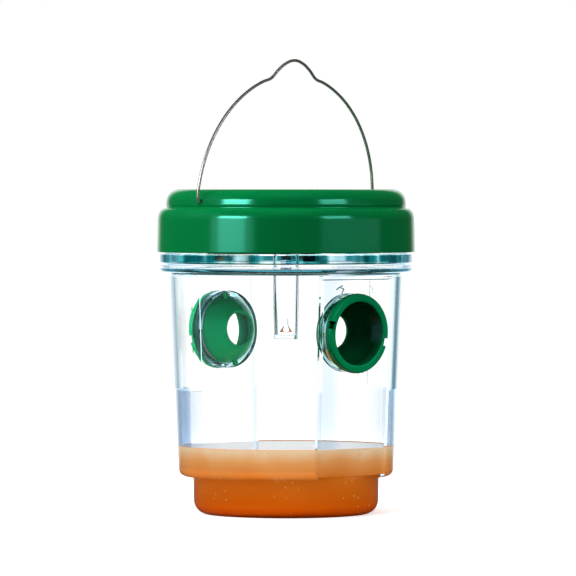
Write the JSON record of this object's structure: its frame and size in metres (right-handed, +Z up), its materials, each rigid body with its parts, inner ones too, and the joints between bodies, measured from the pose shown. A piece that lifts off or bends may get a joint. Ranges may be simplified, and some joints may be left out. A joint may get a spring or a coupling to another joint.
{
  "type": "solar insect trap",
  "caption": "Clear hanging jar trap with green funnel entries, orange bait in its foot, and a green solar lid that carries a light tube and a wire bail.",
  "frame": {"origin": "middle of the jar's underside, on the surface it stands on", "axes": "+Z up the jar to the bail's crown; -Y out of the front entry; +X to the right of someone who faces the front entry"},
  "size_m": [0.1304, 0.1304, 0.2313],
  "materials": {
    "clear_plastic": "clear moulded plastic, polished",
    "tube_plastic": "clear moulded plastic, polished",
    "green_plastic": "deep green moulded plastic, glossy",
    "entry_plastic": "green moulded plastic, satin gloss",
    "syrup": "orange sugar syrup",
    "wire_steel": "bright drawn wire",
    "seal_rubber": "pale soft rubber",
    "solar_dark": "dark blue silicon cell with fine silver lines",
    "solar_clear": "clear potting, glossy",
    "black_plastic": "black moulded plastic",
    "board": "green solder mask",
    "battery_wrap": "shrink sleeve over a steel can",
    "nickel": "nickel plated",
    "red_lead": "red insulated lead",
    "black_lead": "black insulated lead",
    "lamp_clear": "water-clear lamp epoxy"
  },
  "bodies": {
    "jar_body": {"jar": "clear_plastic", "bait_syrup": "syrup"},
    "front_entry_body": {"entry_front": "entry_plastic"},
    "back_entry_body": {"entry_back": "entry_plastic"},
    "seal_body": {"lid_seal": "seal_rubber"},
    "lid_body": {"lid_shell": "green_plastic", "solar_window": "solar_clear", "solar_cell": "solar_dark", "lamp_housing": "green_plastic", "battery_door": "green_plastic", "battery": "battery_wrap", "battery_contact_plus": "nickel", "battery_contact_minus": "nickel", "circuit_board": "board", "charge_chip": "black_plastic", "uv_lamp": "lamp_clear", "lamp_holder": "black_plastic", "light_tube": "tube_plastic", "switch_body": "black_plastic", "solar_lead_plus": "red_lead", "solar_lead_minus": "black_lead", "battery_lead_plus": "red_lead", "battery_lead_minus": "black_lead", "housing_screw_1": "nickel", "housing_screw_2": "nickel", "housing_screw_3": "nickel", "housing_screw_4": "nickel", "door_screw_1": "nickel", "board_screw_1": "nickel", "door_screw_2": "nickel", "board_screw_2": "nickel"},
    "knob_body": {"switch_knob": "black_plastic"},
    "bail_body": {"bail": "wire_steel"}
  },
  "joints": [
    {"name": "front_entry_turn", "type": "hinge", "parent": "jar_body", "child": "front_entry_body", "pos_m": [0, -0.0506, 0.0924], "axis": [0, -0.9992, -0.0396], "range_deg": [0, 25]},
    {"name": "back_entry_turn", "type": "hinge", "parent": "jar_body", "child": "back_entry_body", "pos_m": [0, 0.0506, 0.0924], "axis": [0, 0.9992, -0.0396], "range_deg": [0, 25]},
    {"name": "lid_lift", "type": "slide", "parent": "jar_body", "child": "seal_body", "axis": [0, 0, 1], "range_m": [0, 0.07]},
    {"name": "lid_turn", "type": "hinge", "parent": "seal_body", "child": "lid_body", "pos_m": [0, 0, 0.15], "axis": [0, 0, -1], "range_deg": [0, 40]},
    {"name": "switch_slide", "type": "slide", "parent": "lid_body", "child": "knob_body", "axis": [0.9986, 0.0523, 0], "range_m": [0, 0.0024]},
    {"name": "bail_swing", "type": "hinge", "parent": "lid_body", "child": "bail_body", "pos_m": [0, 0, 0.1578], "axis": [0.9986, 0.0523, 0], "range_deg": [-97, 87]}
  ]
}
